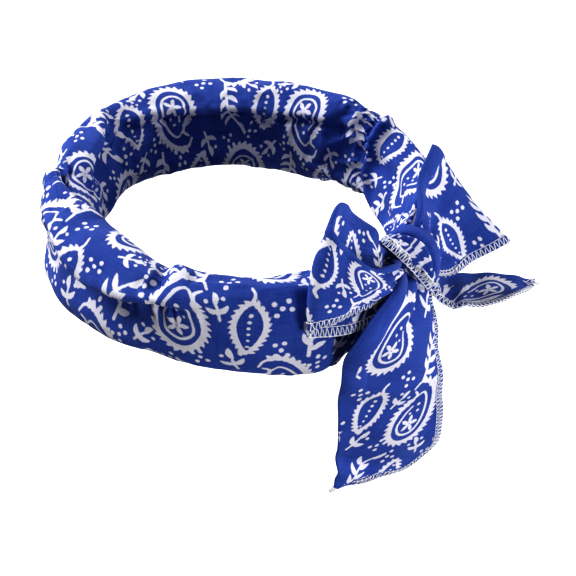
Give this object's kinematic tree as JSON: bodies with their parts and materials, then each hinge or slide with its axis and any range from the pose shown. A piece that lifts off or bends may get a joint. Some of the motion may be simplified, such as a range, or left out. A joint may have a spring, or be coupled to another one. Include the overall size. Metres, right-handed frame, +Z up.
{
  "type": "cooling neck wrap",
  "caption": "Plump padded fabric neck ring in a blue and white print, its flat ends tied in a bow with overlocked edges.",
  "frame": {"origin": "middle of the neck hollow, halfway up the padded tube", "axes": "+Z up along the wearer's neck, the knot at the front on -Y, +X towards the wing with the short tail"},
  "size_m": [0.2061, 0.2515, 0.175],
  "materials": {
    "printed_cotton": "plain weave, printed white on blue",
    "overlock_thread": "spun thread"
  },
  "bodies": {
    "root": {"padded_tube": "printed_cotton", "tube_seam": "overlock_thread", "near_lead": "printed_cotton", "far_lead": "printed_cotton", "knot": "printed_cotton", "near_loop": "printed_cotton", "near_loop_edging": "overlock_thread", "far_loop": "printed_cotton", "far_loop_edging": "overlock_thread", "long_tail": "printed_cotton", "long_tail_edging": "overlock_thread", "short_tail": "printed_cotton", "short_tail_edging": "overlock_thread"}
  },
  "joints": []
}
